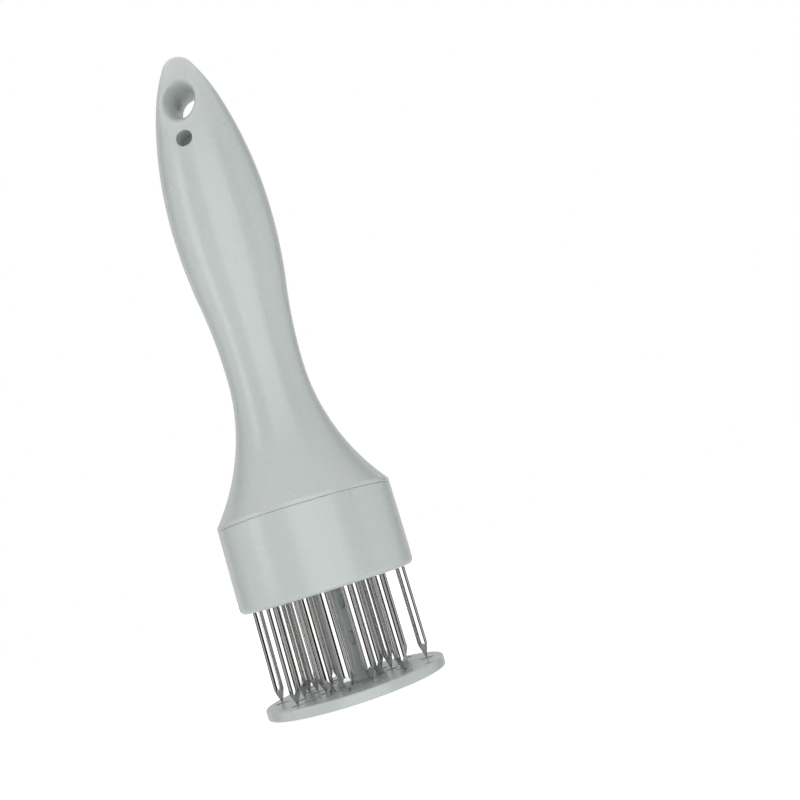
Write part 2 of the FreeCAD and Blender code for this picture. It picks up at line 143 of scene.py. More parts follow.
class Bench:
    """Hand work: selecting, turning, cutting, copying and finishing meshes.

    SEAM is how near, in millimetres, the ends of a turned loop are merged. FLAT_WEIGHT is how much
    a wide face's direction counts in the shading of its corners.
    """

    SEAM = 0.002
    FLAT_WEIGHT = 90

    @staticmethod
    def deselect() -> None:
        """Let go of every object."""
        bpy.ops.object.select_all(action="DESELECT")

    @staticmethod
    def activate(thing: bpy.types.Object) -> None:
        """Select one object alone and make it active.

        Args:
            thing: The object to work on.
        """
        Bench.deselect()
        thing.select_set(True)
        bpy.context.view_layer.objects.active = thing

    @staticmethod
    def settle(thing: bpy.types.Object) -> None:
        """Put an object's place, turn and size into its mesh."""
        Bench.activate(thing)
        bpy.ops.object.transform_apply(location=True, rotation=True, scale=True)

    @staticmethod
    def pick(piece: bpy.types.Object, kind: Pick, test: Callable[[Vector], bool]) -> None:
        """Select vertices or edges by their place, and leave the piece in edit mode.

        Args:
            piece: The active piece.
            kind: Whether vertices or edges are picked.
            test: Takes a vertex's place in metres; an edge has to pass at both ends.
        """
        bpy.ops.object.mode_set(mode="EDIT")
        bpy.ops.mesh.select_mode(type=kind.value)
        bpy.ops.mesh.select_all(action="DESELECT")
        bpy.ops.object.mode_set(mode="OBJECT")
        mesh = piece.data
        if kind is Pick.VERTICES:
            for vertex in mesh.vertices:
                vertex.select = test(vertex.co)
        else:
            for edge in mesh.edges:
                edge.select = all(test(mesh.vertices[corner].co) for corner in edge.vertices)
        bpy.ops.object.mode_set(mode="EDIT")

    @staticmethod
    def turn(name: str, rings: list[Ring], sides: int, start: Ending, end: Ending) -> bpy.types.Object:
        """Turn a profile about the tool's axis, ring by ring.

        Args:
            name: The new piece's name.
            rings: Radius and height of each ring in millimetres.
            sides: Faces around.
            start: How the first ring ends.
            end: How the last ring ends.

        Returns:
            The turned piece.
        """
        Bench.deselect()
        first = rings[0]
        bpy.ops.mesh.primitive_circle_add(
            vertices=sides, radius=first[0] * MM, fill_type="NOTHING", location=(0.0, 0.0, first[1] * MM)
        )
        piece = bpy.context.active_object
        piece.name = name
        Bench.settle(piece)
        bpy.ops.object.mode_set(mode="EDIT")
        bpy.ops.mesh.select_mode(type="VERT")
        bpy.ops.mesh.select_all(action="SELECT")
        if start is Ending.POLE:
            bpy.ops.mesh.edge_face_add()
            bpy.ops.mesh.poke()
            Bench.pick(piece, Pick.EDGES, lambda place: place.xy.length > first[0] * MM / 2.0)
        radius, height = first
        for across, up in rings[1:]:
            bpy.ops.mesh.extrude_edges_move(
                TRANSFORM_OT_translate={"value": (0.0, 0.0, (up - height) * MM)}
            )
            if across <= 0.0:
                bpy.ops.mesh.merge(type="CENTER")
                break
            share = across / radius
            bpy.ops.transform.resize(value=(share, share, 1.0), center_override=(0.0, 0.0, up * MM))
            radius, height = across, up
        if end is Ending.POLE and rings[-1][0] > 0.0:
            bpy.ops.mesh.edge_face_add()
            bpy.ops.mesh.poke()
        bpy.ops.mesh.select_all(action="SELECT")
        if end is Ending.LOOP:
            bpy.ops.mesh.remove_doubles(threshold=Bench.SEAM * MM)
        bpy.ops.mesh.normals_make_consistent(inside=False)
        bpy.ops.object.mode_set(mode="OBJECT")
        return piece

    @staticmethod
    def cut(piece: bpy.types.Object, cutter: bpy.types.Object) -> None:
        """Take a cutter's shape out of a piece, and throw the cutter away.

        Args:
            piece: The piece that is cut.
            cutter: A closed mesh.
        """
        Bench.activate(piece)
        bpy.ops.object.modifier_add(type="BOOLEAN")
        modifier = piece.modifiers[-1]
        modifier.operation = "DIFFERENCE"
        modifier.solver = "EXACT"
        modifier.object = cutter
        bpy.ops.object.modifier_apply(modifier=modifier.name)
        bpy.data.objects.remove(cutter)

    @staticmethod
    def copy(piece: bpy.types.Object, name: str, place: Matrix) -> bpy.types.Object:
        """Copy a piece with its own mesh, moved inside the mesh.

        Args:
            piece: The model to copy.
            name: The copy's name.
            place: Where the copy goes.

        Returns:
            The copy.
        """
        twin = piece.copy()
        twin.data = piece.data.copy()
        twin.name = name
        twin.data.transform(place)
        bpy.context.scene.collection.objects.link(twin)
        return twin

    @staticmethod
    def join(pieces: list[bpy.types.Object]) -> bpy.types.Object:
        """Join several meshes into the first of them.

        Args:
            pieces: The meshes to join.

        Returns:
            The joined mesh.
        """
        Bench.activate(pieces[0])
        for piece in pieces:
            piece.select_set(True)
        bpy.ops.object.join()
        return pieces[0]

    @staticmethod
    def smooth(piece: bpy.types.Object, degrees: float) -> None:
        """Shade a piece smooth, apart from its sharp edges, and keep wide faces flat.

        Args:
            piece: The piece to shade.
            degrees: Edges that turn by more than this stay sharp.
        """
        Bench.activate(piece)
        bpy.ops.object.shade_smooth_by_angle(angle=math.radians(degrees))
        bpy.ops.object.modifier_add(type="WEIGHTED_NORMAL")
        modifier = piece.modifiers[-1]
        modifier.keep_sharp = True
        modifier.weight = Bench.FLAT_WEIGHT
        bpy.ops.object.modifier_apply(modifier=modifier.name)

    @staticmethod
    def hand_over(piece: bpy.types.Object, slot: str, body: str, node: str) -> None:
        """Put a piece on its body in place of a node, and report it.

        Args:
            piece: The dressed piece.
            slot: Its material slot; not used.
            body: The body that it moves with.
            node: The node that it replaces.
        """
        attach(piece, body)
        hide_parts(node)
        LOG.info("%s: %d faces on %s, for %s", piece.name, len(piece.data.polygons), body, node)

    @staticmethod
    def finish(piece: bpy.types.Object, finish: "Finish", body: str, node: str) -> bpy.types.Object:
        """Give a piece its finish, its body and the node that it stands for.

        Args:
            piece: The finished mesh.
            finish: What it is made of.
            body: The body that it moves with.
            node: The node that it replaces.

        Returns:
            The piece.
        """
        piece.data.materials.clear()
        piece.data.materials.append(finish.material())
        Bench.hand_over(piece, finish.slot, body, node)
        return piece


@dataclass(frozen=True)
class Finish:
    """A surface finish: one material, made once."""

    name: str
    slot: str
    colour: tuple[float, float, float]
    roughness: float

    def material(self) -> bpy.types.Material:
        """The finish's material, built the first time it is asked for.

        Returns:
            The material.
        """
        known = bpy.data.materials.get(self.name)
        if known is not None:
            return known
        made = bpy.data.materials.new(self.name)
        made.use_nodes = True
        made.diffuse_color = (*self.colour, 1.0)
        self.dress(made.node_tree)
        return made

    def dress(self, tree: bpy.types.NodeTree) -> None:
        """Add the finish's nodes; each kind of finish has its own."""
        raise NotImplementedError

    @staticmethod
    def node(tree: bpy.types.NodeTree, kind: str, **settings: Any) -> bpy.types.Node:
        """Add a node and set its properties and inputs.

        Args:
            tree: The node tree.
            kind: The node's type.
            settings: Properties by name, or inputs by name with underscores for spaces.

        Returns:
            The node.
        """
        made = tree.nodes.new(kind)
        for key, value in settings.items():
            socket = made.inputs.get(key.replace("_", " "))
            if socket is not None:
                socket.default_value = value
            else:
                setattr(made, key, value)
        return made

    @staticmethod
    def noise(
        tree: bpy.types.NodeTree, stretch: tuple[float, float, float], detail: float
    ) -> bpy.types.NodeSocket:
        """Noise on the piece's own coordinates.

        Args:
            tree: The node tree.
            stretch: Features to a metre along each axis.
            detail: Octaves of finer noise.

        Returns:
            The noise value.
        """
        place = Finish.node(tree, "ShaderNodeTexCoord")
        mapping = Finish.node(tree, "ShaderNodeMapping", Scale=stretch)
        texture = Finish.node(tree, "ShaderNodeTexNoise", Scale=1.0, Detail=detail)
        tree.links.new(place.outputs["Object"], mapping.inputs["Vector"])
        tree.links.new(mapping.outputs["Vector"], texture.inputs["Vector"])
        return texture.outputs["Fac"]

    @staticmethod
    def spread(
        tree: bpy.types.NodeTree, value: bpy.types.NodeSocket, low: float, high: float
    ) -> bpy.types.NodeSocket:
        """Spread a noise value over a range.

        Args:
            tree: The node tree.
            value: The noise.
            low: What a dip in the noise gives.
            high: What a crest gives.

        Returns:
            The spread value.
        """
        ranged = Finish.node(
            tree, "ShaderNodeMapRange", interpolation_type="SMOOTHSTEP",
            From_Min=NOISE_LOW, From_Max=NOISE_HIGH, To_Min=low, To_Max=high,
        )
        tree.links.new(value, ranged.inputs["Value"])
        return ranged.outputs["Result"]

    @staticmethod
    def tint(
        tree: bpy.types.NodeTree, share: bpy.types.NodeSocket,
        one: tuple[float, float, float], other: tuple[float, float, float],
    ) -> bpy.types.NodeSocket:
        """Blend two colours by a share.

        Args:
            tree: The node tree.
            share: How much of the second colour shows.
            one: The first colour.
            other: The second colour.

        Returns:
            The blended colour.
        """
        mix = Finish.node(tree, "ShaderNodeMix", data_type="RGBA")
        colour_in = [socket for socket in mix.inputs if socket.type == "RGBA"]
        colour_in[0].default_value = (*one, 1.0)
        colour_in[1].default_value = (*other, 1.0)
        tree.links.new(share, mix.inputs["Factor"])
        return [socket for socket in mix.outputs if socket.type == "RGBA"][0]

    @staticmethod
    def bump(
        tree: bpy.types.NodeTree, height: bpy.types.NodeSocket, strength: float, depth: float
    ) -> bpy.types.NodeSocket:
        """Turn a height into a bumped normal.

        Args:
            tree: The node tree.
            height: The height, from 0 to 1.
            strength: How strongly it shows.
            depth: The relief's depth in metres.

        Returns:
            The normal.
        """
        made = Finish.node(tree, "ShaderNodeBump", Strength=strength, Distance=depth)
        tree.links.new(height, made.inputs["Height"])
        return made.outputs["Normal"]


@dataclass(frozen=True)
class MouldedPlastic(Finish):
    """Glossy moulded plastic with a faint flow mottle and fine handling marks."""

    mottle: float = 0.012
    mottle_scale: tuple[float, float, float] = (34.0, 34.0, 16.0)
    mark_scale: tuple[float, float, float] = (140.0, 140.0, 90.0)
    mark_gloss: float = 0.015
    coat: float = 0.25
    coat_roughness: float = 0.08
    refraction: float = 1.5
    scatter_share: float = 0.06
    scatter_reach: tuple[float, float, float] = (0.0016, 0.0014, 0.0013)
    peel_scale: tuple[float, float, float] = (620.0, 620.0, 620.0)
    peel_strength: float = 0.04
    peel_depth: float = 0.000012

    def dress(self, tree: bpy.types.NodeTree) -> None:
        """Colour mottle, uneven gloss and a very shallow orange peel.

        Args:
            tree: The material's node tree.
        """
        shader = tree.nodes["Principled BSDF"]
        shader.inputs["Coat Weight"].default_value = self.coat
        shader.inputs["Coat Roughness"].default_value = self.coat_roughness
        shader.inputs["IOR"].default_value = self.refraction
        shader.inputs["Subsurface Weight"].default_value = self.scatter_share
        shader.inputs["Subsurface Radius"].default_value = self.scatter_reach
        shader.inputs["Subsurface Scale"].default_value = 1.0
        flow = self.noise(tree, self.mottle_scale, detail=2.0)
        deep = tuple(channel * (1.0 - self.mottle) for channel in self.colour)
        pale = tuple(min(channel * (1.0 + self.mottle), 1.0) for channel in self.colour)
        share = self.spread(tree, flow, 0.0, 1.0)
        tree.links.new(self.tint(tree, share, deep, pale), shader.inputs["Base Color"])
        marks = self.noise(tree, self.mark_scale, detail=3.0)
        swing = self.mark_gloss
        gloss = self.spread(tree, marks, self.roughness - swing, self.roughness + swing)
        tree.links.new(gloss, shader.inputs["Roughness"])
        peel = self.noise(tree, self.peel_scale, detail=2.0)
        relief = self.bump(tree, peel, self.peel_strength, self.peel_depth)
        tree.links.new(relief, shader.inputs["Normal"])


@dataclass(frozen=True)
class PolishedSteel(Finish):
    """Stainless steel ground along its length, then polished."""

    lines: float = 1900.0
    draw: float = 70.0
    brightest: float = 0.7
    dullest: float = 1.6
    line_strength: float = 0.08
    line_depth: float = 0.000006
    drift_scale: tuple[float, float, float] = (300.0, 300.0, 90.0)
    drift_share: float = 0.9

    def dress(self, tree: bpy.types.NodeTree) -> None:
        """Grinding lines in the gloss and in a shallow relief, with a faint colour drift.

        Args:
            tree: The material's node tree.
        """
        shader = tree.nodes["Principled BSDF"]
        shader.inputs["Metallic"].default_value = 1.0
        lines = self.noise(tree, (self.lines, self.lines, self.draw), detail=2.0)
        gloss = self.spread(tree, lines, self.roughness * self.brightest, self.roughness * self.dullest)
        tree.links.new(gloss, shader.inputs["Roughness"])
        drift = self.spread(tree, self.noise(tree, self.drift_scale, detail=2.0), 0.0, 1.0)
        dull = tuple(channel * self.drift_share for channel in self.colour)
        tree.links.new(self.tint(tree, drift, dull, self.colour), shader.inputs["Base Color"])
        relief = self.bump(tree, lines, self.line_strength, self.line_depth)
        tree.links.new(relief, shader.inputs["Normal"])


@dataclass(frozen=True)
class PaleFloor(Finish):
    """The plain pale floor under the tool, lit through from below like a photographer's light table."""

    glow: float = 0.5
    sheen: float = 0.1
    shade_share: float = 0.995
    shade_scale: tuple[float, float, float] = (3.0, 3.0, 3.0)
    grain_scale: tuple[float, float, float] = (40.0, 40.0, 40.0)
    grain_gloss: float = 0.05

    def dress(self, tree: bpy.types.NodeTree) -> None:
        """A matt white with the slightest unevenness.

        Args:
            tree: The material's node tree.
        """
        shader = tree.nodes["Principled BSDF"]
        shader.inputs["Emission Color"].default_value = (1.0, 1.0, 1.0, 1.0)
        shader.inputs["Emission Strength"].default_value = self.glow
        shader.inputs["Specular IOR Level"].default_value = self.sheen
        drift = self.spread(tree, self.noise(tree, self.shade_scale, detail=2.0), 0.0, 1.0)
        shade = tuple(channel * self.shade_share for channel in self.colour)
        tree.links.new(self.tint(tree, drift, shade, self.colour), shader.inputs["Base Color"])
        grain = self.noise(tree, self.grain_scale, detail=2.0)
        swing = self.grain_gloss
        gloss = self.spread(tree, grain, self.roughness - swing, self.roughness + swing)
        tree.links.new(gloss, shader.inputs["Roughness"])


PALE_PLASTIC = MouldedPlastic("gloss_moulding", "pale_plastic", (0.465, 0.50, 0.488), 0.28)
INNER_PLASTIC = MouldedPlastic("satin_moulding", "inner_plastic", (0.45, 0.47, 0.465), 0.42, coat=0.0)
BLADE_STEEL = PolishedSteel("polished_rod", "blade_steel", (0.78, 0.775, 0.765), 0.07)
POINT_STEEL = PolishedSteel(
    "ground_point", "blade_steel", (0.58, 0.58, 0.585), 0.12, lines=2400.0, draw=700.0
)
SCREW_STEEL = PolishedSteel(
    "turned_screw", "screw_steel", (0.56, 0.56, 0.57), 0.25, lines=2400.0, draw=2400.0
)
SPRING_STEEL = PolishedSteel(
    "drawn_wire", "spring_steel", (0.48, 0.48, 0.50), 0.28, lines=1800.0, draw=1800.0
)
FLOOR_WHITE = PaleFloor("floor_white", "floor_white", (0.97, 0.97, 0.97), 0.8)


@dataclass
class Levels:
    """Heights and radii that pieces share, in millimetres, read from the frame."""

    collar_low: float = field(init=False)
    joint: float = field(init=False)
    collar_radius: float = field(init=False)
    disc_radius: float = field(init=False)
    handle_top: float = field(init=False)

    def __post_init__(self) -> None:
        """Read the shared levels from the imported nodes."""
        low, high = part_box("blade_head")
        self.collar_low = low.z / MM
        self.joint = high.z / MM
        self.collar_radius = self.inner_reach("blade_head")
        self.disc_radius = self.inner_reach("guard")
        self.handle_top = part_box("handle")[1].z / MM

    def inner_reach(self, node: str) -> float:
        """The radius of a round node: the least of its box's four reaches, in millimetres."""
        low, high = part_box(node)
        return min(-low.x, -low.y, high.x, high.y) / MM


@dataclass(frozen=True)
class BladeRing:
    """One ring of blades; its phase is the share of one step that it is turned by."""

    name: str
    radius: float
    phase: float


@dataclass(frozen=True)
class BladePattern:
    """Where the blades stand, which the head's bores and the disc's holes follow."""

    rings: tuple[BladeRing, ...] = (
        BladeRing("outer", 22.5, 0.0),
        BladeRing("middle", 16.0, 0.5),
        BladeRing("inner", 11.5, 0.0),
    )
    count: int = 8
    turn_degrees: float = 11.8
    pin_sides: int = 28

    def places(self) -> Iterator[tuple[str, Matrix, Matrix]]:
        """Go through the blades, ring by ring.

        Returns:
            Each blade's node, its place and its own turn.
        """
        for ring in self.rings:
            for number in range(self.count):
                turn = math.radians(self.turn_degrees + 360.0 / self.count * (number + ring.phase))
                across = ring.radius * MM
                place = Matrix.Translation((across * math.cos(turn), across * math.sin(turn), 0.0))
                yield f"{ring.name}_blade_{number + 1}", place, Matrix.Rotation(turn, 4, "Z")

    def drill(self, piece: bpy.types.Object, radius: float, low: float, high: float) -> None:
        """Drill a piece at every blade's place.

        Args:
            piece: The piece to drill.
            radius: The drill's radius.
            low: Where the drill ends below.
            high: Where it ends above.
        """
        section = [(radius, low), (radius, high)]
        model = Bench.turn("drill", section, self.pin_sides, Ending.POLE, Ending.POLE)
        pins = [Bench.copy(model, f"{node}_drill", place) for node, place, _ in self.places()]
        bpy.data.objects.remove(model)
        Bench.cut(piece, Bench.join(pins))


@dataclass
class Handle:
    """The one-piece handle: bell, neck, grip and the dished end with the hang hole.

    A rise is measured up from the joint with the blade head, and a drop down from the tip.
    """

    levels: Levels
    bell_lip: float = 1.2
    lip_round: float = 0.35
    neck_radius: float = 12.12
    neck_rise: float = 44.2
    grip_radius: float = 16.2
    grip_rise: float = 96.2
    shoulder_radius: float = 11.04
    shoulder_rise: float = 135.2
    shoulder_curve: float = 71.2
    nose_radius: float = 5.0
    nose_length: float = 3.0
    spigot_radius: float = 24.9
    spigot_inner: float = 21.9
    spigot_length: float = 14.0
    bore_radius: float = 8.2
    bore_top: float = 106.8
    bore_centre: float = 0.25
    hang_drop: float = 17.1
    hang_radius: float = 3.8
    hang_reach: float = 13.0
    hole_stretch: float = 1.35
    dish_reach: float = 13.64
    dish_curve: float = 22.0
    dish_blend: float = 1.2
    cutter_margin: float = 0.1
    cutter_overrun: float = 1.0
    web: float = 0.6
    hole_drop: float = 33.7
    hole_radius: float = 2.7
    hole_depth: float = 9.0
    hole_chamfer: float = 0.6
    ease_width: float = 0.25
    ease_curve: float = 0.3
    ease_start: float = 0.4
    ease_end: float = 0.125
    flare_width: float = 1.0
    flare_rise: float = 3.0
    lip_steps: int = 4
    bell_steps: int = 44
    swell_steps: int = 14
    back_steps: int = 40
    dish_steps: int = 44
    nose_steps: int = 12
    cavity_steps: int = 24
    hang_steps: int = 24
    sides: int = 176
    cavity_sides: int = 96
    hang_sides: int = 72
    hole_sides: int = 56
    sharp_degrees: float = 38.0

    def sagitta(self, rise: float, half: float) -> float:
        """The radius of an arc that moves out by rise over half, from along the axis."""
        return (rise * rise + half * half) / (2.0 * rise)

    def lip(self) -> Ring:
        """The top of the bell's upright lip."""
        return (self.levels.collar_radius, self.levels.joint + self.bell_lip)

    def neck(self) -> Ring:
        """The handle's narrowest ring."""
        return (self.neck_radius, self.levels.joint + self.neck_rise)

    def bell_curve(self) -> float:
        """The radius of the flare between the lip and the neck."""
        lip, neck = self.lip(), self.neck()
        return self.sagitta(lip[0] - neck[0], neck[1] - lip[1])

    def outline(self) -> list[Ring]:
        """The outside, from the spigot's inner edge round to the tip.

        Returns:
            The rings of the outline.
        """
        joint = self.levels.joint
        lip, neck = self.lip(), self.neck()
        grip = (self.grip_radius, joint + self.grip_rise)
        half = ((neck[0] + grip[0]) / 2.0, (neck[1] + grip[1]) / 2.0)
        shoulder = (self.shoulder_radius, joint + self.shoulder_rise)
        tip = (0.0, self.levels.handle_top)
        nose = (self.nose_radius, tip[1] - self.nose_length)
        swell = self.sagitta(half[0] - neck[0], half[1] - neck[1])
        back = self.sagitta(grip[0] - shoulder[0], shoulder[1] - grip[1])
        nose_curve = self.sagitta(self.nose_length, self.nose_radius)
        low = joint - self.spigot_length
        edge = self.lip_round
        rings: list[Ring] = [(self.spigot_inner, low), (self.spigot_radius, low)]
        rings += [(self.spigot_radius, joint), (lip[0] - edge, joint)]
        rings += arc(rings[-1], (lip[0], joint + edge), edge, -1, self.lip_steps)
        rings += [lip]
        rings += arc(lip, neck, self.bell_curve(), 1, self.bell_steps)
        rings += arc(neck, half, swell, 1, self.swell_steps)
        rings += arc(half, grip, swell, -1, self.swell_steps)
        rings += arc(grip, shoulder, back, -1, self.back_steps)
        rings += arc(shoulder, nose, self.shoulder_curve, -1, self.dish_steps)
        rings += arc(nose, tip, nose_curve, -1, self.nose_steps)[:-1]
        return rings + [tip]

    def cavity(self) -> list[Ring]:
        """The spring's bore and the bell's cavity, from the bore's blind end down.

        Returns:
            The rings of the section.
        """
        neck = self.neck()
        curve = self.bell_curve() + (self.neck_radius - self.bore_radius)
        sweep = curve - (self.spigot_inner - self.bore_radius)
        mouth = (self.spigot_inner, neck[1] - math.sqrt(curve * curve - sweep * sweep))
        low = self.levels.joint - self.spigot_length - self.cutter_overrun
        rings = [(self.bore_centre, self.bore_top), (self.bore_radius, self.bore_top)]
        rings += [(self.bore_radius, neck[1])]
        rings += arc(rings[-1], mouth, curve, -1, self.cavity_steps)
        return rings + [(self.spigot_inner, low)]

    def build(self) -> bpy.types.Object:
        """Turn the handle, sink its dishes and cut its holes.

        Returns:
            The handle.
        """
        body = Bench.turn("handle_shell", self.outline(), self.sides, Ending.OPEN, Ending.POLE)
        self.close_below(body)
        self.sink_dishes(body)
        Bench.cut(body, Bench.turn("cavity", self.cavity(), self.cavity_sides, Ending.POLE, Ending.POLE))
        Bench.cut(body, self.hang_cutter())
        Bench.cut(body, self.hole_cutter())
        Bench.smooth(body, self.sharp_degrees)
        return body

    def close_below(self, body: bpy.types.Object) -> None:
        """Close the open end of the spigot with a flat face.

        Args:
            body: The handle's shell.
        """
        low = (self.levels.joint - self.spigot_length) * MM
        reach = (self.spigot_inner + self.cutter_margin) * MM
        Bench.activate(body)
        Bench.pick(
            body, Pick.VERTICES, lambda place: abs(place.z - low) < TOUCH and place.xy.length < reach
        )
        bpy.ops.mesh.edge_face_add()
        bpy.ops.mesh.select_all(action="SELECT")
        bpy.ops.mesh.normals_make_consistent(inside=False)
        bpy.ops.object.mode_set(mode="OBJECT")

    def dish_depth(self, distance: float) -> float:
        """How far from the middle plane the dish's wall lies, at a distance from the hole's axis.

        Args:
            distance: Distance from the axis in millimetres.

        Returns:
            The half thickness left there.
        """
        inside = min(max(distance - self.hang_radius, 0.0), self.dish_curve)
        return math.sqrt(self.dish_curve ** 2 - (self.dish_curve - inside) ** 2)

    def sink_dishes(self, body: bpy.types.Object) -> None:
        """Press the front and the back dish into the end, with a soft lip.

        Args:
            body: The handle's closed shell.
        """
        centre = self.levels.handle_top - self.hang_drop
        blend = self.dish_blend
        for vertex in body.data.vertices:
            across, depth, up = (value / MM for value in vertex.co)
            distance = math.hypot(across, (up - centre) / self.stretch_at(up - centre))
            now = abs(depth)
            if distance > self.dish_reach or now < TOUCH:
                continue
            floor = self.dish_depth(distance)
            sunk = -blend * math.log(math.exp(-now / blend) + math.exp(-floor / blend))
            vertex.co.y = math.copysign(max(min(now, sunk), self.web), depth) * MM

    def stretch_at(self, rise: float) -> float:
        """How much the hole is drawn out, which is only below its middle."""
        return self.hole_stretch if rise < 0.0 else 1.0

    def hang_cutter(self) -> bpy.types.Object:
        """A waisted pin through the hang hole that follows both dishes to their lips.

        Returns:
            The cutter.
        """
        rings: list[Ring] = []
        for step in range(-self.hang_steps, self.hang_steps + 1):
            depth = self.hang_reach * step / self.hang_steps
            waist = self.dish_curve - math.sqrt(self.dish_curve ** 2 - depth ** 2)
            rings.append((self.hang_radius + self.cutter_margin + waist, depth))
        cutter = Bench.turn("hang_cutter", rings, self.hang_sides, Ending.POLE, Ending.POLE)
        self.lay_along_y(cutter, 0.0)
        for vertex in cutter.data.vertices:
            vertex.co.z *= self.stretch_at(vertex.co.z)
        height = self.levels.handle_top - self.hang_drop
        cutter.data.transform(Matrix.Translation((0.0, 0.0, height * MM)))
        return cutter

    def hole_cutter(self) -> bpy.types.Object:
        """The blind moulding hole in the front, with its rim eased.

        Returns:
            The cutter.
        """
        height = self.levels.handle_top - self.hole_drop
        surface = self.surface_radius(height)
        floor = self.grip_radius - self.hole_depth
        rings: list[Ring] = [(self.hole_radius - self.hole_chamfer, floor)]
        rings += [(self.hole_radius, floor + self.hole_chamfer)]
        rings += [(self.hole_radius, surface - self.ease_start)]
        eased = (self.hole_radius + self.ease_width, surface - self.ease_end)
        rings += arc(rings[-1], eased, self.ease_curve, 1, self.lip_steps)
        rings += [(self.hole_radius + self.flare_width, surface + self.flare_rise)]
        cutter = Bench.turn("hole_cutter", rings, self.hole_sides, Ending.POLE, Ending.POLE)
        return self.lay_along_y(cutter, height * MM)

    def surface_radius(self, height: float) -> float:
        """The grip's radius at a height on its upper taper.

        Args:
            height: The height in millimetres.

        Returns:
            The radius in millimetres.
        """
        grip_level = self.levels.joint + self.grip_rise
        taper = self.sagitta(self.grip_radius - self.shoulder_radius, self.shoulder_rise - self.grip_rise)
        rise = height - grip_level
        return self.grip_radius - taper + math.sqrt(taper * taper - rise * rise)

    def lay_along_y(self, cutter: bpy.types.Object, height: float) -> bpy.types.Object:
        """Lay a cutter that was turned about Z along the front-to-back line, its top to the front.

        Args:
            cutter: The cutter.
            height: Its height in metres.

        Returns:
            The cutter.
        """
        upright = Matrix.Translation((0.0, 0.0, height))
        cutter.data.transform(upright @ Matrix.Rotation(math.radians(90.0), 4, "X"))
        return cutter


@dataclass
class BladeHead:
    """The collar with the floor that the blades hang in."""

    levels: Levels
    pattern: BladePattern
    rim_round: float = 1.8
    joint_round: float = 0.3
    inner_round: float = 0.3
    ceiling_round: float = 0.4
    ease: float = 0.2
    inner_radius: float = 24.3
    mouth_radius: float = 25.0
    floor_recess: float = 1.8
    floor_thickness: float = 5.0
    stem_bore: float = 4.85
    blade_bore: float = 1.55
    drill_below: float = 2.0
    drill_above: float = 8.0
    round_steps: int = 6
    sides: int = 160
    sharp_degrees: float = 35.0

    def build(self) -> bpy.types.Object:
        """Turn the collar and drill its floor for the blades.

        Returns:
            The blade head.
        """
        low = self.levels.collar_low
        joint = self.levels.joint
        floor = low + self.floor_recess
        shelf = floor + self.floor_thickness
        corners: list[Corner] = [
            (self.stem_bore, floor, self.ease),
            (self.inner_radius, floor, self.ceiling_round),
            (self.inner_radius, low, self.inner_round),
            (self.levels.collar_radius, low, self.rim_round),
            (self.levels.collar_radius, joint, self.joint_round),
            (self.mouth_radius, joint, self.ease),
            (self.mouth_radius, shelf, self.ease),
            (self.stem_bore, shelf, self.ease),
        ]
        section = rounded(corners, self.round_steps)
        section.append(section[0])
        collar = Bench.turn("blade_head_shell", section, self.sides, Ending.OPEN, Ending.LOOP)
        self.pattern.drill(collar, self.blade_bore, floor - self.drill_below, floor + self.drill_above)
        Bench.smooth(collar, self.sharp_degrees)
        return collar


@dataclass
class Blades:
    """The three rings of round blades, each ground to a point with four flats.

    A face that leans down by more than ground_lean, within point_reach point lengths, is a flat.
    """

    pattern: BladePattern
    radius: float = 1.5
    head_radius: float = 2.1
    head_thickness: float = 1.5
    head_round: float = 0.2
    head_centre: float = 0.4
    shank_round: float = 0.15
    point_length: float = 4.8
    point_level: float = 2.8
    point_reach: float = 1.4
    ground_lean: float = 0.1
    flats: int = 4
    top: float = 38.0
    round_steps: int = 3
    sides: int = 32
    sharp_degrees: float = 30.0

    def model(self) -> bpy.types.Object:
        """One blade on the axis: a rod with an upset head, its end ground by four cuts.

        Returns:
            The blade.
        """
        shoulder = self.top - self.head_thickness
        corners: list[Corner] = [
            (self.radius, self.point_level, 0.0),
            (self.radius, shoulder, self.shank_round),
            (self.head_radius, shoulder, self.head_round),
            (self.head_radius, self.top, self.head_round),
            (self.head_centre, self.top, 0.0),
        ]
        rings = rounded(corners, self.round_steps, closed=False)
        rod = Bench.turn("blade_model", rings, self.sides, Ending.POLE, Ending.POLE)
        slope = Vector((self.point_length, 0.0, -self.radius)).normalized()
        for number in range(self.flats):
            turn = math.radians(360.0 / self.flats * number)
            self.grind(rod, Matrix.Rotation(turn, 3, "Z") @ slope)
        return rod

    def grind(self, rod: bpy.types.Object, outward: Vector) -> None:
        """Grind one flat through the tip and close it.

        Args:
            rod: The blade.
            outward: The flat's outward normal.
        """
        Bench.activate(rod)
        bpy.ops.object.mode_set(mode="EDIT")
        bpy.ops.mesh.select_mode(type="VERT")
        bpy.ops.mesh.select_all(action="SELECT")
        bpy.ops.mesh.bisect(
            plane_co=(0.0, 0.0, self.point_level * MM), plane_no=outward, use_fill=True, clear_outer=True
        )
        bpy.ops.object.mode_set(mode="OBJECT")

    def build(self) -> dict[str, bpy.types.Object]:
        """Copy the blade to every place.

        Returns:
            The blades by the names of the nodes that they stand for.
        """
        model = self.model()
        self.dress_point(model)
        Bench.smooth(model, self.sharp_degrees)
        blades: dict[str, bpy.types.Object] = {}
        for node, place, turn in self.pattern.places():
            blades[node] = Bench.copy(model, f"{node}_rod", place @ turn)
        bpy.data.objects.remove(model)
        return blades

    def dress_point(self, rod: bpy.types.Object) -> None:
        """Give the rod its steel, and the ground flats their own duller one.

        Args:
            rod: The blade.
        """
        rod.data.materials.clear()
        rod.data.materials.append(BLADE_STEEL.material())
        rod.data.materials.append(POINT_STEEL.material())
        shank = (self.point_level + self.point_length * self.point_reach) * MM
        for face in rod.data.polygons:
            ground = face.center.z < shank and face.normal.z < -self.ground_lean
            face.material_index = 1 if ground else 0


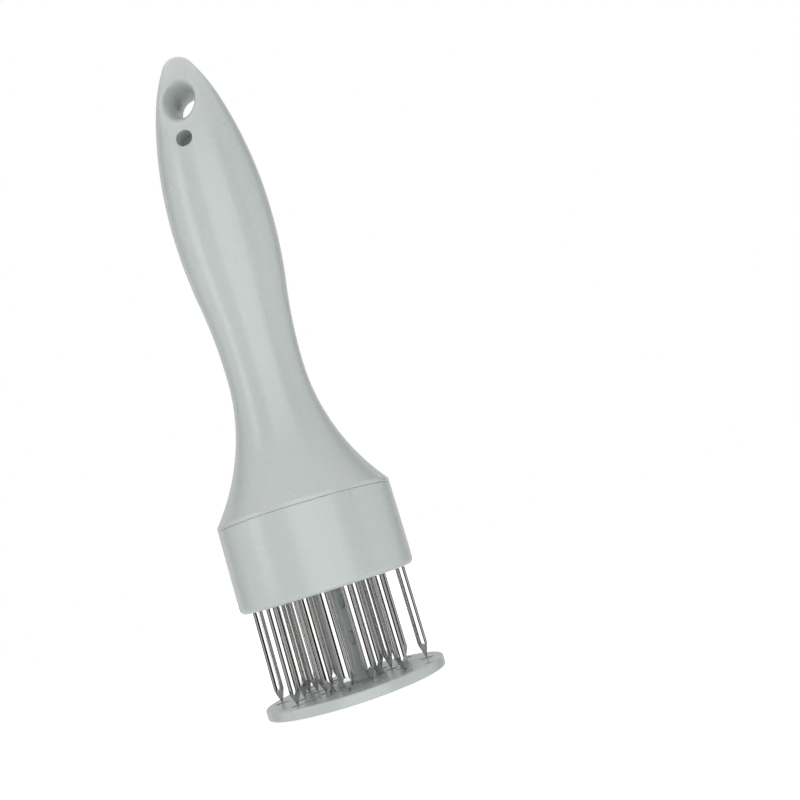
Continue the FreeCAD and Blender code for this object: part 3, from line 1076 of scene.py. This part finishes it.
@dataclass
class Guard:
    """The guard disc with its stem, in one moulding."""

    levels: Levels
    pattern: BladePattern
    disc_thickness: float = 3.0
    edge_round: float = 0.55
    stem_radius: float = 4.75
    foot_round: float = 1.2
    stem_top: float = 41.3
    stem_round: float = 0.3
    pole_radius: float = 2.0
    blade_hole: float = 2.1
    drill_low: float = -1.0
    drill_high: float = 4.0
    screw_bore: float = 2.05
    screw_low: float = 26.8
    screw_high: float = 43.0
    dimple_half_width: float = 1.35
    dimple_half_length: float = 2.2
    dimple_depth: float = 0.8
    dimple_levels: tuple[float, float] = (15.5, 26.7)
    dimple_degrees: float = -38.2
    cutter_length: float = 4.0
    round_steps: int = 6
    sides: int = 192
    dimple_sides: int = 48
    bore_sides: int = 32
    sharp_degrees: float = 35.0

    def build(self) -> bpy.types.Object:
        """Turn the disc and stem, drill the disc and press in the stem's dimples.

        Returns:
            The guard.
        """
        corners: list[Corner] = [
            (self.pole_radius, 0.0, 0.0),
            (self.levels.disc_radius, 0.0, self.edge_round),
            (self.levels.disc_radius, self.disc_thickness, self.edge_round),
            (self.stem_radius, self.disc_thickness, self.foot_round),
            (self.stem_radius, self.stem_top, self.stem_round),
            (self.pole_radius, self.stem_top, 0.0),
        ]
        section = rounded(corners, self.round_steps, closed=False)
        guard = Bench.turn("guard_disc", section, self.sides, Ending.POLE, Ending.POLE)
        self.pattern.drill(guard, self.blade_hole, self.drill_low, self.drill_high)
        for level in self.dimple_levels:
            Bench.cut(guard, self.dimple(level))
        bore = [(self.screw_bore, self.screw_low), (self.screw_bore, self.screw_high)]
        Bench.cut(guard, Bench.turn("screw_bore", bore, self.bore_sides, Ending.POLE, Ending.POLE))
        Bench.smooth(guard, self.sharp_degrees)
        return guard

    def dimple(self, level: float) -> bpy.types.Object:
        """An upright oval cutter that reaches the dimple's depth into the stem.

        Args:
            level: The dimple's height in millimetres.

        Returns:
            The cutter.
        """
        Bench.deselect()
        bpy.ops.mesh.primitive_cylinder_add(vertices=self.dimple_sides, radius=1.0, depth=2.0)
        cutter = bpy.context.active_object
        half = (self.dimple_half_length, self.dimple_half_width, self.cutter_length / 2.0)
        stretch = Matrix.Diagonal((*(size * MM for size in half), 1.0))
        out = self.stem_radius - self.dimple_depth + self.cutter_length / 2.0
        turn = Matrix.Rotation(math.radians(self.dimple_degrees), 4, "Z")
        place = turn @ Matrix.Translation((out * MM, 0.0, level * MM))
        cutter.data.transform(place @ Matrix.Rotation(math.radians(90.0), 4, "Y") @ stretch)
        return cutter


@dataclass
class ReturnSpring:
    """The coil spring between the stem's washer and the blind end of the handle's bore."""

    wire: float = 1.4
    mean_radius: float = 6.5
    turns: int = 9
    low: float = 43.1
    high: float = 106.5
    travel: float = 28.0
    wire_sides: int = 14
    steps: int = 36
    sharp_degrees: float = 60.0

    def build(self) -> bpy.types.Object:
        """Wind the wire by sweeping its round section up and round.

        Returns:
            The spring.
        """
        Bench.deselect()
        section = self.wire / 2.0 * MM
        bpy.ops.mesh.primitive_circle_add(
            vertices=self.wire_sides, radius=section,
            location=(self.mean_radius * MM, 0.0, self.low * MM + section),
            rotation=(math.radians(90.0), 0.0, 0.0),
        )
        coil = bpy.context.active_object
        coil.name = "return_spring_coil"
        Bench.settle(coil)
        bpy.ops.object.modifier_add(type="SCREW")
        screw = coil.modifiers[-1]
        screw.angle = math.radians(360.0)
        screw.iterations = self.turns
        screw.steps = screw.render_steps = self.steps
        screw.screw_offset = (self.high - self.low - self.wire) / self.turns * MM
        bpy.ops.object.modifier_apply(modifier=screw.name)
        bpy.ops.object.mode_set(mode="EDIT")
        bpy.ops.mesh.select_mode(type="VERT")
        bpy.ops.mesh.select_all(action="SELECT")
        bpy.ops.mesh.fill_holes(sides=0)
        bpy.ops.mesh.normals_make_consistent(inside=False)
        bpy.ops.object.mode_set(mode="OBJECT")
        Bench.smooth(coil, self.sharp_degrees)
        return coil


@dataclass(frozen=True)
class Softbox:
    """One large soft light."""

    name: str
    place: tuple[float, float, float]
    size: tuple[float, float]
    power: float

    def hang(self, aim: Vector) -> None:
        """Hang the light and point it at the tool.

        Args:
            aim: The point that it lights.
        """
        data = bpy.data.lights.new(self.name, "AREA")
        data.shape = "RECTANGLE"
        data.size, data.size_y = self.size
        data.energy = self.power
        lamp = bpy.data.objects.new(self.name, data)
        lamp.location = self.place
        lamp.rotation_euler = (aim - Vector(self.place)).to_track_quat("-Z", "Y").to_euler()
        bpy.context.scene.collection.objects.link(lamp)


@dataclass
class Studio:
    """The photograph's camera, a pale floor and plain soft light.

    A panel of the surround runs from one of its stops to the next: degrees, then brightness.
    """

    camera_place: tuple[float, float, float] = (0.08661, -0.28507, 0.03862)
    sight: tuple[float, float, float] = (-0.16583, 0.97638, 0.13851)
    roll_degrees: float = -17.186
    lens: float = 43.25
    sensor: float = 36.0
    near_clip: float = 0.01
    floor_size: float = 6.0
    floor_drop: float = 0.0002
    aim: tuple[float, float, float] = (0.0, 0.0, 0.1)
    softboxes: tuple[Softbox, ...] = (
        Softbox("left_softbox", (-0.85, -0.65, 0.45), (0.35, 0.9), 1.6),
        Softbox("top_softbox", (0.0, 0.1, 1.3), (1.4, 1.4), 2.0),
    )
    ceiling: float = 0.9
    ceiling_start: float = 0.55
    ceiling_full: float = 0.8
    panels: tuple[tuple[float, float], ...] = (
        (-180.0, 0.62), (-140.0, 0.6), (-136.0, 0.02), (-116.0, 0.02), (-110.0, 0.45), (-64.0, 0.4),
        (-58.0, 0.01), (-26.0, 0.01), (-20.0, 1.7), (34.0, 1.7), (40.0, 0.01), (66.0, 0.01),
        (72.0, 0.5), (116.0, 0.45), (120.0, 0.02), (142.0, 0.02), (146.0, 0.6), (180.0, 0.62),
    )

    def set_camera(self) -> None:
        """Stand the camera where the photograph was taken."""
        data = bpy.data.cameras.new("camera")
        data.sensor_width = self.sensor
        data.lens = self.lens
        data.clip_start = self.near_clip
        camera = bpy.data.objects.new("camera", data)
        level = Vector(self.sight).to_track_quat("-Z", "Y").to_matrix()
        turned = level @ Matrix.Rotation(math.radians(self.roll_degrees), 3, "Z")
        camera.matrix_world = Matrix.Translation(self.camera_place) @ turned.to_4x4()
        bpy.context.scene.collection.objects.link(camera)
        bpy.context.scene.camera = camera

    def lay_floor(self) -> None:
        """Lay the plain floor under the tool, where the polished blades don't mirror it."""
        Bench.deselect()
        bpy.ops.mesh.primitive_plane_add(size=self.floor_size, location=(0.0, 0.0, -self.floor_drop))
        floor = bpy.context.active_object
        floor.name = "floor"
        floor.visible_glossy = False
        floor.data.materials.append(FLOOR_WHITE.material())

    def light(self) -> None:
        """Hang the soft lights and set the surround."""
        for softbox in self.softboxes:
            softbox.hang(Vector(self.aim))
        world = bpy.data.worlds.new("surround")
        world.use_nodes = True
        self.surround(world.node_tree)
        bpy.context.scene.world = world
        bpy.context.scene.view_settings.view_transform = "Standard"

    def surround(self, tree: bpy.types.NodeTree) -> None:
        """Build the studio's surround: upright light and dark panels under a pale ceiling.

        Args:
            tree: The world's node tree.
        """
        place = Finish.node(tree, "ShaderNodeTexCoord")
        apart = Finish.node(tree, "ShaderNodeSeparateXYZ")
        toward = math.atan2(self.camera_place[1], self.camera_place[0])
        spun = Finish.node(tree, "ShaderNodeVectorRotate", rotation_type="Z_AXIS", Angle=-toward)
        tree.links.new(place.outputs["Generated"], spun.inputs["Vector"])
        tree.links.new(spun.outputs["Vector"], apart.inputs["Vector"])
        bearing = Finish.node(tree, "ShaderNodeMath", operation="ARCTAN2")
        tree.links.new(apart.outputs["Y"], bearing.inputs[0])
        tree.links.new(apart.outputs["X"], bearing.inputs[1])
        share = Finish.node(tree, "ShaderNodeMapRange", From_Min=-math.pi, From_Max=math.pi)
        tree.links.new(bearing.outputs["Value"], share.inputs["Value"])
        panels = Finish.node(tree, "ShaderNodeValToRGB")
        self.lay_panels(panels.color_ramp)
        tree.links.new(share.outputs["Result"], panels.inputs["Fac"])
        height = Finish.node(
            tree, "ShaderNodeMapRange", interpolation_type="SMOOTHSTEP",
            From_Min=self.ceiling_start, From_Max=self.ceiling_full,
        )
        tree.links.new(apart.outputs["Z"], height.inputs["Value"])
        mix = Finish.node(tree, "ShaderNodeMix", data_type="RGBA")
        colours = [socket for socket in mix.inputs if socket.type == "RGBA"]
        colours[1].default_value = (self.ceiling, self.ceiling, self.ceiling, 1.0)
        tree.links.new(height.outputs["Result"], mix.inputs["Factor"])
        tree.links.new(panels.outputs["Color"], colours[0])
        studio = tree.nodes["Background"]
        blended = [socket for socket in mix.outputs if socket.type == "RGBA"][0]
        tree.links.new(blended, studio.inputs["Color"])
        white = Finish.node(tree, "ShaderNodeBackground", Color=(1.0, 1.0, 1.0, 1.0), Strength=1.0)
        ray = Finish.node(tree, "ShaderNodeLightPath")
        choose = Finish.node(tree, "ShaderNodeMixShader")
        tree.links.new(ray.outputs["Is Camera Ray"], choose.inputs["Fac"])
        tree.links.new(studio.outputs["Background"], choose.inputs[1])
        tree.links.new(white.outputs["Background"], choose.inputs[2])
        tree.links.new(choose.outputs["Shader"], tree.nodes["World Output"].inputs["Surface"])

    def lay_panels(self, ramp: bpy.types.ColorRamp) -> None:
        """Set the panels round the horizon; 0 degrees is behind the camera, positive to its right.

        Args:
            ramp: The ramp from -180 to 180 degrees.
        """
        while len(ramp.elements) > 1:
            ramp.elements.remove(ramp.elements[-1])
        for number, (degrees, level) in enumerate(self.panels):
            where = degrees / 360.0 + 0.5
            stop = ramp.elements[0] if number == 0 else ramp.elements.new(where)
            stop.position = where
            stop.color = (level, level, level, 1.0)

    def build(self) -> None:
        """Set up the whole studio."""
        self.set_camera()
        self.lay_floor()
        self.light()


CARRIED_NODES: dict[str, Finish] = {
    "clamp_plate": INNER_PLASTIC,
    "clamp_screws": SCREW_STEEL,
    "stem_washer": SCREW_STEEL,
    "stem_screw": SCREW_STEEL,
}


def dress_carried_nodes() -> None:
    """Give the nodes that stay as they are their finishes."""
    for name, finish in CARRIED_NODES.items():
        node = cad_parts[name]
        node.data.materials.clear()
        node.data.materials.append(finish.material())
        LOG.info("%s: kept from the frame, dressed as %s", name, finish.name)


def main() -> None:
    """Build every sub-assembly in order and report each piece."""
    logging.basicConfig(level=logging.INFO, format="%(name)s %(message)s")
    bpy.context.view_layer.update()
    levels = Levels()
    pattern = BladePattern()
    Studio().build()
    Bench.finish(Handle(levels).build(), PALE_PLASTIC, "tool", "handle")
    Bench.finish(BladeHead(levels, pattern).build(), PALE_PLASTIC, "tool", "blade_head")
    for node, rod in Blades(pattern).build().items():
        Bench.hand_over(rod, BLADE_STEEL.slot, "tool", node)
    Bench.finish(Guard(levels, pattern).build(), PALE_PLASTIC, "guard", "guard")
    spring = ReturnSpring()
    coil = Bench.finish(spring.build(), SPRING_STEEL, "tool", "return_spring")
    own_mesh(coil)
    dress_carried_nodes()


if __name__ == "__main__":
    main()
